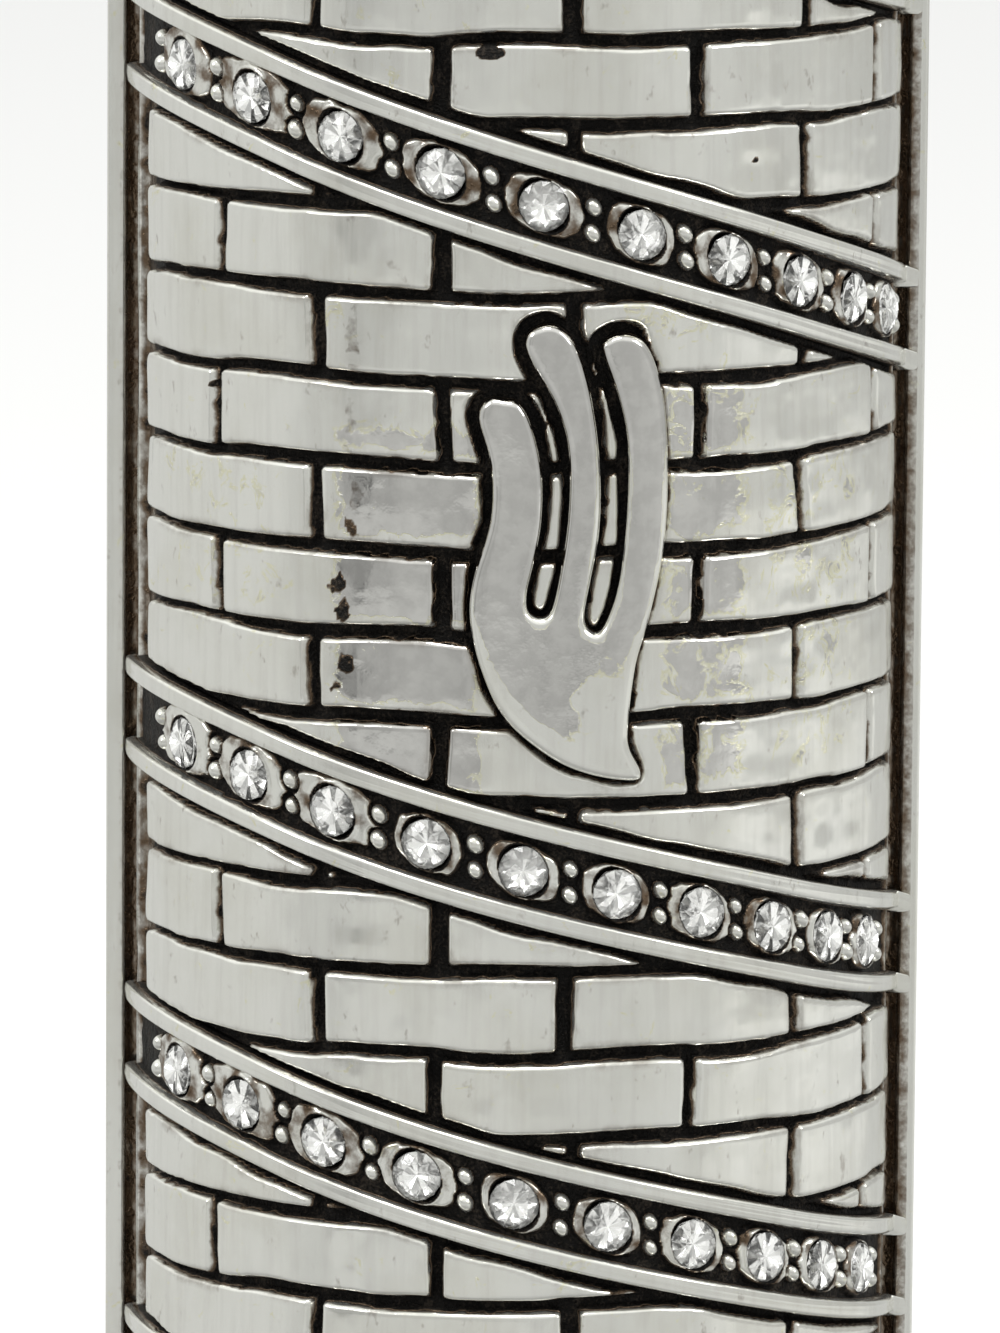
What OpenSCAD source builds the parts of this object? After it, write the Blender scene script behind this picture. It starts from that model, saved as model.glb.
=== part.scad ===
/* [Case] */
// Overall width, across the side flanges
case_w = 30; // [28:0.5:32]
// Overall height, end cap to end cap
case_h = 150; // [140:2:170]
// Height of each end cap
cap_h = 11; // [9:0.5:13]
// Radius of the round front at the brick faces
brick_r = 14.2; // [14.1:0.05:14.3]
// Radius of the sunk ground that the bricks and bands stand on
ground_r = 13.5; // [13.4:0.05:13.6]

/* [Bricks] */
// Height of one course of bricks
course_h = 3.05; // [2.8:0.05:3.3]
// Angle that half a brick takes up round the front
half_brick = 19.3; // [18:0.1:20]
// Width of the sunk joint between bricks
joint_w = 0.5; // [0.3:0.05:0.7]

/* [Gem bands] */
// Bands above the emblem, and as many below it
bands_each_way = 4; // [1:1:4]
// Height of the first band above or below the emblem's middle
first_band = 11.95; // [11:0.05:12.5]
// Height from one band to the next
band_pitch = 12.2; // [11:0.05:12.5]
// Usual drop of a band for each degree that it goes round the front
band_drop = 0.0645; // [0.05:0.0005:0.075]
// Width of a band over both rails, measured up the case
band_w = 4; // [3.6:0.1:4.4]
// Width of each rail
rail_w = 0.65; // [0.5:0.05:0.8]
// Stones in each band
gems_per_band = 10; // [8:1:10]
// Angle from the first stone of a band to the second
gem_step = 15.6; // [15.2:0.1:15.8]
// Diameter of a stone
gem_d = 1.82; // [1.6:0.02:1.9]

/* [Mounting] */
// Distance between the two wall screws
screw_span = 110; // [90:5:110]
// Radius of a wall screw's hole
screw_r = 1.9; // [1.6:0.1:2.2]

/* [Parchment] */
// Length of the rolled parchment
scroll_len = 118; // [80:1:118]
// Radius of the rolled parchment
scroll_r = 4.9; // [3.5:0.1:5]

/* [Hidden] */

$fn = 96;
eps = 0.01;
gap = 0.03;

half_w = case_w / 2;
body_top = case_h / 2 - cap_h;
axis_y = -2.2;                 // centre line of the round front, ahead of the wall
wall_clear = 0.1;              // the case hangs this far clear of the wall

// Silver facing
facing_in_r = 13.03;
brick_end = 75;                // the bricks stop at this angle each side of the front
brick_shift = -1.23;           // the brick pattern sits a little left of centre
course_top = 0.86 * course_h;  // height of one of the joints between courses
flange_w = 0.7;
flange_front = 1.1;            // flange face, ahead of the round front's centre line
ridge_r = 13.95;
ridge_angle = 83.2;

// Core
core_r = 13;
cavity_r = 11.8;
core_half_w = 14.2;
core_shoulder = 0.4;
groove_half_w = 13.15;
lip_half_w = 10.6;
groove_front = -2.32;
groove_back = -1.08;

// Back rail
rail_front = -2.2;
rail_wing_back = -1.2;
rail_half_w = 13;
rail_core_half_w = 10.45;
rail_foot = -case_h / 2 + 2;
rail_top = body_top - 0.5;

// Fasteners
foot_screw_x = 6;
foot_screw_z = -case_h / 2 + 6;
lock_x = 9.5;
lock_y = -4.8;
lock_boss_r = 2.3;
lock_boss_top = -body_top + 9;
lock_screw_len = 17;

spigot_h = 2;
spigot_r = cavity_r - 0.3;
spigot_back = -2.35;

// Bands
rail_r = 14.4;
band_floor_r = 13.75;
under_r = ground_r + gap;
band_end = 80;
band_step = 5;
recess_w = band_w + 1;
recess_end = 82;
recess_floor_r = ground_r - 0.05;
emblem_mid = 0.35;
band_extra_drop = [0, 0, 0, 0.01, 0, 0, 0, 0];   // the bands are hand-laid, so they differ a little
band_curl = 0.0007;            // the left end of a band turns flatter past this angle
curl_start = 35;
band_narrowing = 0.18;         // a band is narrower at its ends than in the middle
gem_first = -58.4;
gem_shift = [0.4, -0.1, 0.9, -0.1, 0.5, -0.9, 0.2, -0.4];
gem_spread = [0.2, -0.1, 0.3, 0.6, -0.1, 0, 0.1, -0.1];
gem_crowding = 0.42;           // each gap between stones is this much smaller than the last
cup_r = 1.12;
cup_in_r = gem_d / 2 + 0.02;
cup_foot_r = 13.6;
cup_top_r = 14.12;
bead_r = 0.24;
bead_out = 0.46;

// Band 1 is the topmost. The emblem stands between the two middle bands.
function band_z(k) = emblem_mid + (k <= bands_each_way
    ? first_band + band_pitch * (bands_each_way - k)
    : -first_band - band_pitch * (k - bands_each_way - 1));
function band_height(k, a) =
    band_z(k) - (band_drop + band_extra_drop[k - 1]) * a - band_curl * pow(max(0, -a - curl_start), 2);
function band_breadth(a) = 1 - band_narrowing * pow(a / band_end, 2);
function gem_angle(k, i) =
    gem_first + gem_shift[k - 1] + (gem_step + gem_spread[k - 1]) * i - gem_crowding * i * (i - 1) / 2;
function on_round(r, a, z) = [r * sin(a), axis_y - r * cos(a), z];

// A closed strip that follows the falling band line round the front.
// section: points of [height above the band line, radius]
// caps: the convex pieces, as point numbers, that its end faces divide into
module band_sweep(k, section, caps, last) {
    n = len(section);
    steps = ceil(2 * last / band_step);
    points = [for (s = [0:steps], p = section)
        let (a = -last + 2 * last * s / steps)
        on_round(p[1], a, band_height(k, a) + p[0] * band_breadth(a))];
    sides = [for (s = [0:steps - 1], i = [0:n - 1])
        let (j = (i + 1) % n, here = s * n, ahead = (s + 1) * n)
        each [[here + i, ahead + j, here + j], [here + i, ahead + i, ahead + j]]];
    last_end = [for (c = caps) [for (i = [len(c) - 1:-1:0]) steps * n + c[i]]];
    polyhedron(points = points, faces = concat(sides, caps, last_end), convexity = 6);
}

// Stands its children on the round front, with +Z pointing out of the case
module stand_on_round(k, a, r) {
    translate(on_round(r, a, band_height(k, a)))
        rotate([0, 0, a])
            rotate([90, 0, 0])
                children();
}

// ---- On the wall ----

module wall_screw_hole(z) {
    translate([0, eps, z])
        rotate([90, 0, 0]) {
            cylinder(r = screw_r, h = 3);
            translate([0, 0, 0.8])
                cylinder(r1 = screw_r, r2 = screw_r + 1.45, h = 1.45);
        }
}

module foot_screw_hole(x, r, head_r) {
    translate([x, eps, foot_screw_z])
        rotate([90, 0, 0]) {
            cylinder(r = r, h = 9);
            cylinder(r1 = head_r, r2 = r, h = head_r - r);
        }
}

module back_rail() {
    color("lightgray")
        difference() {
            translate([0, 0, rail_foot])
                linear_extrude(rail_top - rail_foot) {
                    translate([-rail_core_half_w, rail_front])
                        square([2 * rail_core_half_w, -rail_front]);
                    translate([-rail_half_w, rail_front])
                        square([2 * rail_half_w, rail_wing_back - rail_front]);
                }
            for (z = [-1, 1] * screw_span / 2)
                wall_screw_hole(z);
            for (x = [-1, 1] * foot_screw_x)
                foot_screw_hole(x, 1.3, 2.4);
        }
}

// Half outline of an end cap: radius against height above the joint with the case
function cap_outline() = concat(
    [[0, 0], [half_w, 0], [half_w, 1.4]],
    [for (t = [0:15:90]) [half_w - 1.3 * sin(t), 2.7 - 1.3 * cos(t)]],
    [[half_w - 1.3, 5.2]],
    [for (t = [0:15:90]) [half_w - 1.3 * cos(t), 5.2 + 1.3 * sin(t)]],
    [[half_w, cap_h - 2.2]],
    [for (t = [15:15:90]) [half_w - 2.2 + 2.2 * cos(t), cap_h - 2.2 + 2.2 * sin(t)]],
    [[0, cap_h]]);

module cap_solid(back) {
    rear = back - axis_y;
    translate([0, axis_y, 0])
        rotate([0, 0, 180])
            rotate_extrude(angle = 180)
                polygon(cap_outline());
    translate([0, back, 0])
        rotate([90, 0, 0])
            linear_extrude(rear) {
                polygon(cap_outline());
                mirror([1, 0])
                    polygon(cap_outline());
            }
}

// A low half-round plug that fits inside the core
module spigot(h) {
    intersection() {
        translate([0, axis_y, 0])
            cylinder(r = spigot_r, h = h);
        translate([-half_w, spigot_back - 2 * half_w, -eps])
            cube([case_w, 2 * half_w, h + 2 * eps]);
    }
}

module bottom_cap() {
    color("silver")
        difference() {
            union() {
                translate([0, 0, -body_top])
                    mirror([0, 0, 1])
                        cap_solid(0);
                translate([0, 0, -body_top - 1])
                    spigot(spigot_h + 1);
            }
            translate([-rail_half_w - 0.05, rail_front - 0.05, rail_foot - 0.05])
                cube([2 * rail_half_w + 0.1, 4, 2 * cap_h]);
            for (x = [-1, 1] * foot_screw_x)
                foot_screw_hole(x, 1.28, 1.3);
            for (x = [-1, 1] * lock_x)
                translate([x, lock_y, -case_h / 2 - eps]) {
                    cylinder(r = 1.15, h = 2 * cap_h);
                    cylinder(r = 2.05, h = 1.8);
                }
        }
}

module foot_screws() {
    color("gray")
        for (x = [-1, 1] * foot_screw_x)
            difference() {
                translate([x, -0.05, foot_screw_z])
                    rotate([90, 0, 0]) {
                        cylinder(r1 = 2.3, r2 = 1.25, h = 1.05);
                        cylinder(r = 1.25, h = 8.7);
                    }
                for (turn = [0, 90])
                    translate([x, -0.3, foot_screw_z])
                        rotate([0, turn, 0])
                            cube([2.4, 0.7, 0.45], center = true);
            }
}

module lock_screw(side) {
    color("gray")
        translate([side * lock_x, lock_y, -case_h / 2 + 0.4])
            difference() {
                union() {
                    cylinder(r = 1.9, h = 1.3);
                    cylinder(r = 0.95, h = lock_screw_len);
                }
                cube([4, 0.5, 1.2], center = true);
            }
}

// ---- Parchment ----

scroll_y = -7.6;
scroll_foot = -body_top + spigot_h + 0.05;

module parchment_scroll() {
    color("wheat")
        translate([0, scroll_y, scroll_foot])
            difference() {
                cylinder(r = scroll_r, h = scroll_len);
                translate([0, 0, -eps])
                    cylinder(r = 1.6, h = scroll_len + 2 * eps);
            }
}

module scroll_sleeve() {
    color("aliceblue")
        translate([0, scroll_y, scroll_foot])
            difference() {
                cylinder(r = scroll_r + 0.2, h = scroll_len);
                translate([0, 0, -eps])
                    cylinder(r = scroll_r + 0.05, h = scroll_len + 2 * eps);
            }
}

// ---- Case ----

module below_line(y) {
    translate([-2 * case_w, y - 4 * case_w])
        square([4 * case_w, 4 * case_w]);
}

module core_section() {
    difference() {
        union() {
            intersection() {
                circle(r = core_r);
                below_line(0);
            }
            translate([-core_half_w, -core_shoulder])
                square([2 * core_half_w, core_shoulder - axis_y - wall_clear]);
        }
        intersection() {
            circle(r = cavity_r);
            below_line(0);
        }
        translate([-groove_half_w, groove_front - axis_y])
            square([2 * groove_half_w, groove_back - groove_front]);
        translate([-lip_half_w, groove_front - axis_y])
            square([2 * lip_half_w, 4]);
    }
}

emblem_pegs = [[1.8, -5.9], [4.85, 1.7]];
peg_r = 0.5;

module peg_holes(r) {
    for (p = emblem_pegs)
        translate([p[0], 0, p[1]])
            rotate([90, 0, 0])
                cylinder(r = r, h = case_w);
}

module core_shell() {
    color("dimgray")
        difference() {
            union() {
                translate([0, axis_y, -body_top + 0.05])
                    linear_extrude(2 * body_top - 0.05)
                        core_section();
                for (x = [-1, 1] * lock_x)
                    translate([x, lock_y, -body_top + spigot_h + 0.2])
                        cylinder(r = lock_boss_r, h = lock_boss_top + body_top - spigot_h - 0.2);
            }
            for (x = [-1, 1] * lock_x)
                translate([x, lock_y, -body_top])
                    cylinder(r = 1, h = 2 * lock_boss_r + 5);
            peg_holes(peg_r + gap);
        }
}

module between_angles(last) {
    reach = 2 * case_w;
    polygon([[0, 0], [-reach * sin(last), -reach * cos(last)], [-reach, -2 * reach],
             [reach, -2 * reach], [reach * sin(last), -reach * cos(last)]]);
}

// Sunk ground, edge ridges and side flanges
module facing_section() {
    difference() {
        union() {
            intersection() {
                circle(r = ground_r);
                below_line(0);
            }
            for (side = [-1, 1])
                rotate(side * ridge_angle) {
                    translate([0, -ridge_r + 0.12])
                        circle(r = 0.12, $fn = 24);
                    translate([-0.12, -ridge_r + 0.12])
                        square([0.24, 0.7]);
                }
            translate([-half_w + flange_w, -flange_front + 0.5])
                square([case_w - 2 * flange_w, flange_front]);
            for (side = [0, 1])
                mirror([side, 0])
                    translate([half_w - flange_w, -flange_front])
                        square([flange_w, flange_front - axis_y - wall_clear]);
        }
        circle(r = facing_in_r);
        translate([-core_half_w - gap, -core_shoulder - gap])
            square([2 * (core_half_w + gap), 4]);
    }
}

// One course of bricks. Every second course is set over by half a brick.
module course_section(odd) {
    difference() {
        intersection() {
            circle(r = brick_r);
            between_angles(brick_end);
        }
        circle(r = facing_in_r + 0.2);
        for (k = [-3.5:1:3.5])
            if (abs((k + 3.5) % 2 - odd) < 0.5)
                rotate(k * half_brick + brick_shift)
                    translate([-joint_w / 2, -brick_r - 1])
                        square([joint_w, brick_r - ground_r + 1]);
    }
}

module brick_courses() {
    first = -ceil((body_top + course_top) / course_h);
    for (i = [first:-first]) {
        low = max(course_top + i * course_h + joint_w / 2, -body_top + 0.05);
        high = min(course_top + (i + 1) * course_h - joint_w / 2, body_top);
        if (high - low > joint_w)
            translate([0, 0, low])
                linear_extrude(high - low)
                    course_section((abs(i) + 1) % 2);
    }
}

module silver_facing() {
    color("silver")
        difference() {
            translate([0, axis_y, 0])
                union() {
                    translate([0, 0, -body_top + 0.05])
                        linear_extrude(2 * body_top - 0.05)
                            facing_section();
                    brick_courses();
                }
            for (k = [1:2 * bands_each_way])
                band_sweep(k, recess_section(), [[0, 1, 2, 3]], recess_end);
            intersection() {
                rotate([90, 0, 0])
                    linear_extrude(case_w)
                        offset(r = emblem_moat)
                            emblem_plan();
                emblem_ring(recess_floor_r, brick_r + 1);
            }
            peg_holes(peg_r + gap);
        }
}

module top_cap() {
    color("silver")
        union() {
            translate([0, 0, body_top])
                cap_solid(-wall_clear);
            translate([0, 0, body_top - spigot_h])
                spigot(spigot_h + 1);
        }
}

// ---- Emblem ----

emblem_in_r = ground_r + gap;
emblem_out_r = brick_r + 0.45;
emblem_moat = 0.5;

// A smooth closed curve through the given points
function loop_point(p, i, t) =
    let (n = len(p), a = p[(i + n - 1) % n], b = p[i], c = p[(i + 1) % n], d = p[(i + 2) % n])
    0.5 * (2 * b + (c - a) * t + (2 * a - 5 * b + 4 * c - d) * t * t + (3 * b - a - 3 * c + d) * t * t * t);
function smooth_loop(p, steps) = [for (i = [0:len(p) - 1], s = [0:steps - 1]) loop_point(p, i, s / steps)];

// Outline of the three-armed letter: down its left side, along the foot, then over each arm's tip
emblem_outline = [
    [-0.25, 4.8], [-0.8, 4.8], [-1.15, 4.15], [-0.7, 2.45], [-0.7, 0.45], [-1.3, -1.65], [-1.4, -3.2],
    [-0.95, -5.05], [-0.1, -6.7], [1.5, -8.05], [2.95, -8.7], [4.45, -8.95], [4.7, -8.65], [4.3, -7.8],
    [4.25, -6.95], [4.5, -4.8], [4.95, -3.2], [5.45, -0.8], [5.6, 1.7], [5.5, 4.15], [5.2, 5.75],
    [4.7, 6.8], [3.95, 7.1], [3.3, 6.85], [3.3, 6.35], [3.8, 4.9], [4.15, 3.2], [4.15, 0.7],
    [3.9, -1.75], [3.45, -3.2], [3.05, -3.6], [2.65, -3.1], [2.85, -1.75], [3.15, -0.05], [3.2, 1.7],
    [3.05, 3.65], [2.7, 5.5], [2.2, 6.85], [1.5, 7.45], [0.75, 7.3], [0.5, 6.8], [0.8, 6],
    [1.5, 4.8], [1.95, 3.55], [2.1, 2.2], [2.05, 0.45], [1.8, -1.4], [1.5, -2.75], [1.1, -3.05],
    [0.65, -2.8], [0.6, -2.1], [0.85, -1], [1.1, 0.45], [1.1, 2.2], [0.75, 3.8], [0.3, 4.65]];

module emblem_plan() {
    polygon(smooth_loop(emblem_outline, 3));
}

module emblem_ring(r_in, r_out) {
    translate([0, axis_y, -half_w])
        difference() {
            cylinder(r = r_out, h = case_w);
            translate([0, 0, -1])
                cylinder(r = r_in, h = case_w + 2);
        }
}

module shin_emblem() {
    color("gainsboro")
        union() {
            intersection() {
                rotate([90, 0, 0])
                    linear_extrude(case_w)
                        emblem_plan();
                emblem_ring(emblem_in_r, emblem_out_r);
            }
            for (p = emblem_pegs)
                translate([p[0], axis_y - cavity_r - 0.3, p[1]])
                    rotate([90, 0, 0])
                        cylinder(r = peg_r, h = 2.3);
        }
}

// ---- Bands and stones ----

function recess_section() =
    let (w = recess_w / 2)
    [[-w, recess_floor_r], [w, recess_floor_r], [w, brick_r + 2], [-w, brick_r + 2]];

function band_section() =
    let (w = band_w / 2, c = w - rail_w)
    [[-w, under_r], [w, under_r], [w, rail_r - 0.2], [w - 0.15, rail_r], [c + 0.15, rail_r],
     [c, rail_r - 0.2], [c, band_floor_r], [-c, band_floor_r], [-c, rail_r - 0.2], [-c - 0.15, rail_r],
     [-w + 0.15, rail_r], [-w, rail_r - 0.2]];

band_caps = [[0, 1, 6, 7], [1, 2, 3, 4, 5, 6], [0, 7, 8, 9, 10, 11]];

module gem_band(k) {
    color("silver")
        difference() {
            union() {
                band_sweep(k, band_section(), band_caps, band_end);
                for (i = [0:gems_per_band - 1])
                    stand_on_round(k, gem_angle(k, i), cup_foot_r)
                        cylinder(r = cup_r, h = cup_top_r - cup_foot_r, $fn = 48);
                for (i = [0:gems_per_band], side = [-1, 1])
                    stand_on_round(k, gem_angle(k, i - 0.5), band_floor_r + 0.05)
                        translate([0, side * bead_out, 0])
                            sphere(r = bead_r, $fn = 24);
            }
            for (i = [0:gems_per_band - 1])
                stand_on_round(k, gem_angle(k, i), cup_foot_r)
                    cylinder(r = cup_in_r, h = 2, $fn = 48);
        }
}

// Brilliant-cut stones: pavilion, girdle and crown
module crystals(k) {
    r = gem_d / 2;
    color("white")
        for (i = [0:gems_per_band - 1])
            stand_on_round(k, gem_angle(k, i), cup_foot_r + 0.03) {
                cylinder(r1 = 0.12, r2 = r, h = 0.5, $fn = 48);
                translate([0, 0, 0.5])
                    cylinder(r = r, h = 0.08, $fn = 48);
                translate([0, 0, 0.58])
                    cylinder(r1 = r, r2 = 0.58 * r, h = 0.27, $fn = 48);
            }
}

back_rail();
bottom_cap();
foot_screws();
lock_screw(-1);  // lock_screw_left
lock_screw(1);  // lock_screw_right
parchment_scroll();
scroll_sleeve();
core_shell();
silver_facing();
top_cap();
shin_emblem();
for (k = [1:2 * bands_each_way]) {
    gem_band(k);
    crystals(k);
}
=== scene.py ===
"""Looks of the half-round mezuzah case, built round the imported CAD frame. Sizes are in millimetres."""

import math

import bpy
import numpy as np
from mathutils import Matrix, Vector
from mathutils.geometry import delaunay_2d_cdt


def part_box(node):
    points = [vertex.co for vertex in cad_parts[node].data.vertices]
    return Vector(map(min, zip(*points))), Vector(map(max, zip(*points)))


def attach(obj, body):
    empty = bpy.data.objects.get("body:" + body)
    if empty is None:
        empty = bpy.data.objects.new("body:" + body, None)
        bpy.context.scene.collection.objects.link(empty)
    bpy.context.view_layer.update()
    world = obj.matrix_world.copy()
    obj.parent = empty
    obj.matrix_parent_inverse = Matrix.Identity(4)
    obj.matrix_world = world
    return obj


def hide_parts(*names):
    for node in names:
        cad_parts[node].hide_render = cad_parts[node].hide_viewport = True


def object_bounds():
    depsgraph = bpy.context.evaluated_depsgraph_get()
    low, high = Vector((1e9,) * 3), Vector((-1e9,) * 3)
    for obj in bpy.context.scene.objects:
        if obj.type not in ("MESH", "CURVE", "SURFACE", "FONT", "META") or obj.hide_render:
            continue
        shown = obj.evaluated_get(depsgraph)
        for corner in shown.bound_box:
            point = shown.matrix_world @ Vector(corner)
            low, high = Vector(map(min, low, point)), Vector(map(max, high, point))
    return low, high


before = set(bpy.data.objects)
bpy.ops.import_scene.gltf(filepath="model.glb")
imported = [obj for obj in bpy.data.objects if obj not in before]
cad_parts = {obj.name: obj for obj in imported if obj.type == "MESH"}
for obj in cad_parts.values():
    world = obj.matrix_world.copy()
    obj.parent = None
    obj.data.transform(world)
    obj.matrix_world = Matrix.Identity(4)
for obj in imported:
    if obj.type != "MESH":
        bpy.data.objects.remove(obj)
cad_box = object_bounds()

MM = 0.001
BANDS = 8
BANDS_EACH_WAY = 4
GEMS = 10
CASE = "case"


def node_box(name):
    """Lowest and highest corner of a CAD node, in millimetres."""
    low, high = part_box(name)
    return np.array(low) / MM, np.array(high) / MM


# ---- Sizes that the relief shares with the CAD model ----

# The half-round front: the depth of its centre, then the outer box of the silver facing
AXIS_Y = -2.2
FACING_LOW, FACING_HIGH = node_box("silver_facing")
HALF_W, BACK_Y, BODY_TOP = FACING_HIGH
BODY_LOW = FACING_LOW[2]

# Bricks: radii of their faces and of the dark ground, heights, and angles from the middle in degrees
BRICK_R = 14.2
GROUND_R = 13.5
COURSE_H = 3.05
COURSE_TOP = 0.86 * COURSE_H
HALF_BRICK = 19.3
BRICK_SHIFT = -1.23
BRICK_LAST_LEFT = 71.5
JOINT_LAST_LEFT = -60.0
BRICK_LAST_RIGHT = 79.3
# Widths of the joints between courses and between two bricks of a course
ROW_JOINT = 0.42
SIDE_JOINT = 0.44

# The flat flange down each side, and the ridge beside it
FLANGE_W = 0.7
FLANGE_FRONT = 1.1
RIDGE_ANGLE = 83.2
RIDGE_R = 13.95

# Gem bands: heights at the middle, and how they fall to the right
EMBLEM_MID = 0.35
FIRST_BAND = 11.95
BAND_PITCH = 12.2
LOWER_BANDS = 0.2
BAND_DROP = 0.0645
BAND_EXTRA_DROP = (0, 0, 0, 0.01, 0, 0, 0, 0)
# How fast the ends turn flatter, past these angles on the left and on the right
BAND_CURL = 0.0007
CURL_START = 35.0
RIGHT_LIFT = 0.0004
LIFT_START = 45.0
# Cross-section: widths, and radii of the rails, the sunk floor and the underside
BAND_END = 80.0
BAND_W = 4.0
BAND_NARROWING = 0.04
RAIL_W = 0.76
RAIL_R = 14.4
BAND_FLOOR_R = 13.75
UNDER_R = 13.53

# Stones: width and the angles that they are set at, by hand, closer to the right. Then the beads between
GEM_D = 1.82
GEM_FIRST = -58.4
GEM_STEP = 15.6
GEM_SHIFT = (0.4, -0.1, 0.9, -0.1, 0.5, -0.9, 0.2, -0.4)
GEM_SPREAD = (0.2, -0.1, 0.3, 0.6, -0.1, 0, 0.1, -0.1)
GEM_CROWDING = 0.42
BEAD_OUT = 0.46
BEAD_R = 0.33

# The letter: radius of its face, and points that its outline runs smoothly through, as x and z
EMBLEM_R = 14.65
EMBLEM_OUTLINE = (
    (-0.25, 4.8), (-0.8, 4.8), (-1.15, 4.15), (-0.7, 2.45), (-0.7, 0.45), (-1.3, -1.65), (-1.4, -3.2),
    (-0.95, -5.05), (-0.1, -6.7), (1.5, -8.05), (2.95, -8.7), (4.45, -8.95), (4.7, -8.65), (4.3, -7.8),
    (4.25, -6.95), (4.5, -4.8), (4.95, -3.2), (5.45, -0.8), (5.6, 1.7), (5.5, 4.15), (5.2, 5.75),
    (4.7, 6.8), (3.95, 7.1), (3.3, 6.85), (3.3, 6.35), (3.8, 4.9), (4.15, 3.2), (4.15, 0.7),
    (3.9, -1.75), (3.45, -3.2), (3.05, -3.6), (2.65, -3.1), (2.85, -1.75), (3.15, -0.05), (3.2, 1.7),
    (3.05, 3.65), (2.7, 5.5), (2.2, 6.85), (1.5, 7.45), (0.75, 7.3), (0.5, 6.8), (0.8, 6),
    (1.5, 4.8), (1.95, 3.55), (2.1, 2.2), (2.05, 0.45), (1.8, -1.4), (1.5, -2.75), (1.1, -3.05),
    (0.65, -2.8), (0.6, -2.1), (0.85, -1), (1.1, 0.45), (1.1, 2.2), (0.75, 3.8), (0.3, 4.65))


def band_z(k):
    """Height of band k at the middle of the front. Band 1 is the topmost."""
    if k <= BANDS_EACH_WAY:
        return EMBLEM_MID + FIRST_BAND + BAND_PITCH * (BANDS_EACH_WAY - k)
    return EMBLEM_MID - FIRST_BAND - LOWER_BANDS - BAND_PITCH * (k - BANDS_EACH_WAY - 1)


def band_height(k, a):
    """Height of band k at an angle. It falls straight to the right, flatter at both ends."""
    curl = BAND_CURL * np.maximum(0, -a - CURL_START) ** 2
    lift = RIGHT_LIFT * np.maximum(0, a - LIFT_START) ** 2
    return band_z(k) - (BAND_DROP + BAND_EXTRA_DROP[k - 1]) * a - curl + lift


def band_breadth(a):
    """Share of its full width that a band has at an angle."""
    return 1 - BAND_NARROWING * (a / BAND_END) ** 2


def gem_angle(k, i):
    """Angle of stone i of band k. A number between two whole ones is a place between two stones."""
    step = GEM_STEP + GEM_SPREAD[k - 1]
    return GEM_FIRST + GEM_SHIFT[k - 1] + step * i - GEM_CROWDING * i * (i - 1) / 2


def arc(a):
    """Length round the brick faces, in millimetres, of an angle in degrees."""
    return np.radians(a) * BRICK_R


BAND_TILT = math.cos(math.atan(math.degrees(BAND_DROP) / BRICK_R))


# ---- Shape tools ----

def fade(t):
    """0 to 1 with no sudden change of slope at either end."""
    return t * t * t * (t * (6 * t - 15) + 10)


def ramp(low, high, x):
    """0 below low, 1 above high, and smooth between."""
    t = np.clip((x - low) / (high - low), 0, 1)
    return t * t * (3 - 2 * t)


def noise(x, y, cell, seed):
    """Smooth noise from -1 to 1 with features about one cell across."""
    table = np.random.default_rng(seed).uniform(-1, 1, (256, 256))
    u, v = x / cell, y / cell
    iu, iv = np.floor(u).astype(int), np.floor(v).astype(int)
    fu, fv = fade(u - iu), fade(v - iv)
    iu, iv, ju, jv = iu % 256, iv % 256, (iu + 1) % 256, (iv + 1) % 256
    low = table[iu, iv] * (1 - fu) + table[ju, iv] * fu
    high = table[iu, jv] * (1 - fu) + table[ju, jv] * fu
    return low * (1 - fv) + high * fv


def scatter(i, j, seed):
    """One fixed random number from -1 to 1 for each pair of whole numbers."""
    table = np.random.default_rng(seed).uniform(-1, 1, (128, 128))
    return table[np.asarray(i) % 128, np.asarray(j) % 128]


def soft_min(p, q, blend):
    """The smaller of two distances, rounded where they are within a blend of each other."""
    h = np.clip(0.5 + 0.5 * (q - p) / blend, 0, 1)
    return q * (1 - h) + p * h - blend * h * (1 - h)


def on_round(r, a, z):
    """Points at a radius, an angle and a height round the front."""
    t = np.radians(a)
    return np.stack(np.broadcast_arrays(r * np.sin(t), AXIS_Y - r * np.cos(t), z), axis=-1)


def build(name, points, faces, body, material, flat=(), values=None):
    """A mesh from points in millimetres, with smooth faces, flat-shaded faces and values at its points."""
    mesh = bpy.data.meshes.new(name)
    points = np.asarray(points, dtype=float)
    lists = [list(f) for f in flat]
    quads = np.asarray(faces, dtype=np.int32) if len(faces) else np.zeros((0, 4), np.int32)
    loops = np.concatenate([quads.ravel()] + [np.array(f, np.int32) for f in lists])
    sizes = np.concatenate([np.full(len(quads), quads.shape[1]), np.array([len(f) for f in lists], int)])
    starts = np.concatenate([[0], np.cumsum(sizes)[:-1]]).astype(np.int32)
    mesh.vertices.add(len(points))
    mesh.vertices.foreach_set("co", (points * MM).ravel())
    mesh.loops.add(len(loops))
    mesh.loops.foreach_set("vertex_index", loops)
    mesh.polygons.add(len(sizes))
    mesh.polygons.foreach_set("loop_start", starts)
    smooth = np.ones(len(sizes), bool)
    smooth[len(quads):] = False
    mesh.polygons.foreach_set("use_smooth", smooth)
    mesh.update(calc_edges=True)
    edge_of = np.empty(len(loops), dtype=np.int32)
    mesh.loops.foreach_get("edge_index", edge_of)
    sharp = np.zeros(len(mesh.edges), dtype=bool)
    sharp[edge_of[quads.size:]] = True
    mesh.edges.foreach_set("use_edge_sharp", sharp)
    for key, value in (values or {}).items():
        layer = mesh.attributes.new(key, "FLOAT", "POINT")
        layer.data.foreach_set("value", np.asarray(value, dtype=np.float32).ravel())
    mesh.validate()
    piece = bpy.data.objects.new(name, mesh)
    bpy.context.scene.collection.objects.link(piece)
    mesh.materials.append(material)
    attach(piece, body)
    return piece


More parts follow.
